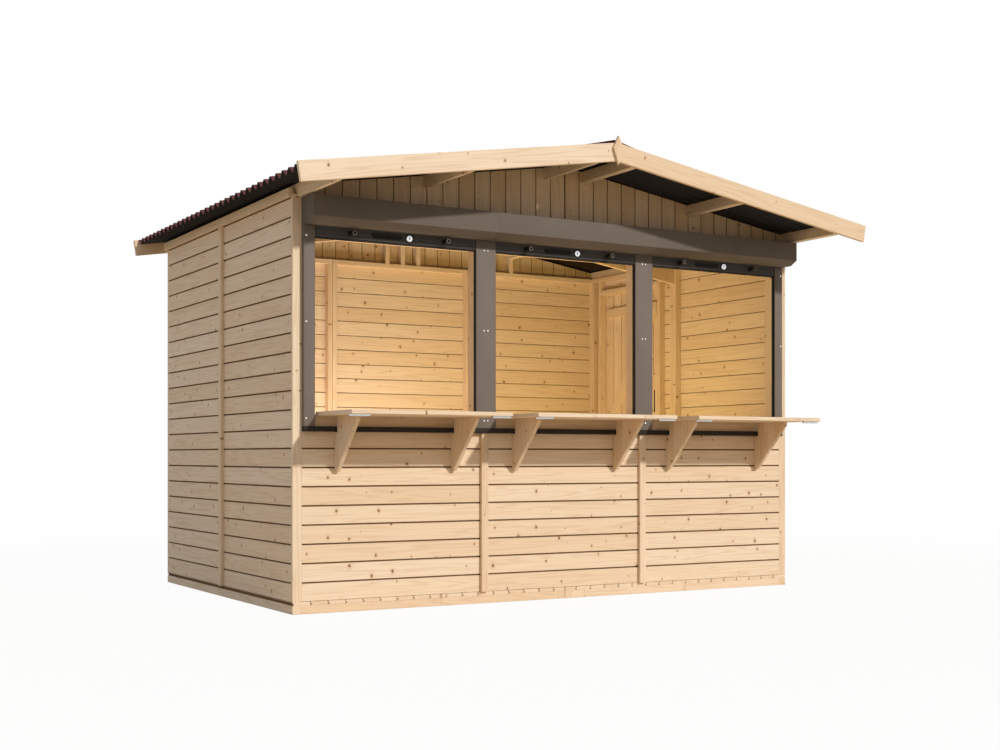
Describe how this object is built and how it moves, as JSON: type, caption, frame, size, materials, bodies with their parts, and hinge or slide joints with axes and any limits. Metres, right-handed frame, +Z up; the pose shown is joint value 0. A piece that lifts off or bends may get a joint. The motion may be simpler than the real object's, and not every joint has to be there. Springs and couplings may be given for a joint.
{
  "type": "wooden market stall",
  "caption": "Panel-built timber market stall with gable roof, serving bays under rolled-up shutters, bracketed counters and a boarded side door.",
  "frame": {"origin": "centre of the base's underside", "axes": "+X to the right along the serving front, -Y out of the front, +Z up"},
  "size_m": [3.3254, 2.576, 2.2953],
  "materials": {
    "pine": "planed, untreated",
    "dark_metal": "satin, finely textured",
    "roof_sheet": "matt",
    "ridge_red": "matt",
    "zinc": "zinc plated",
    "black_plastic": "satin",
    "lock_white": "gloss"
  },
  "bodies": {
    "stall": {"apex_plates": "pine", "back_wall": "pine", "barge_boards_left": "pine", "barge_boards_right": "pine", "base_bearers": "pine", "base_rims": "pine", "corner_boards": "pine", "corner_posts": "pine", "counter_bolts": "zinc", "counter_brackets": "pine", "counters": "pine", "cover_strips": "pine", "door_stops": "pine", "eave_strips": "pine", "end_wall_rails": "pine", "floor_panels": "pine", "front_header": "pine", "front_posts": "pine", "front_sill_rail": "pine", "front_wall": "pine", "gable_battens": "pine", "gable_rails": "pine", "gables": "pine", "hinge_plates": "zinc", "left_wall": "pine", "middle_collar": "pine", "middle_rafter_left": "pine", "middle_rafter_right": "pine", "purlins": "pine", "ridge_cap": "ridge_red", "right_wall_beside_door": "pine", "right_wall_front": "pine", "right_wall_over_door": "pine", "roof_sheet_left": "roof_sheet", "roof_sheet_right": "roof_sheet", "shutter_bars": "dark_metal", "shutter_boxes": "dark_metal", "shutter_guides": "dark_metal", "shutter_locks": "lock_white", "shutter_pulls": "black_plastic", "shutter_stops": "black_plastic", "side_wall_rails": "pine", "sill_profile": "dark_metal", "wall_studs": "pine"},
    "door": {"door_boards": "pine", "door_ledges": "pine", "door_brace": "pine", "door_lock": "pine", "door_hinges": "zinc"}
  },
  "joints": [
    {"name": "door_hinge", "type": "hinge", "parent": "stall", "child": "door", "pos_m": [1.5085, 0.797, 0.95], "axis": [0, 0, 1], "range_deg": [0, 160]}
  ]
}
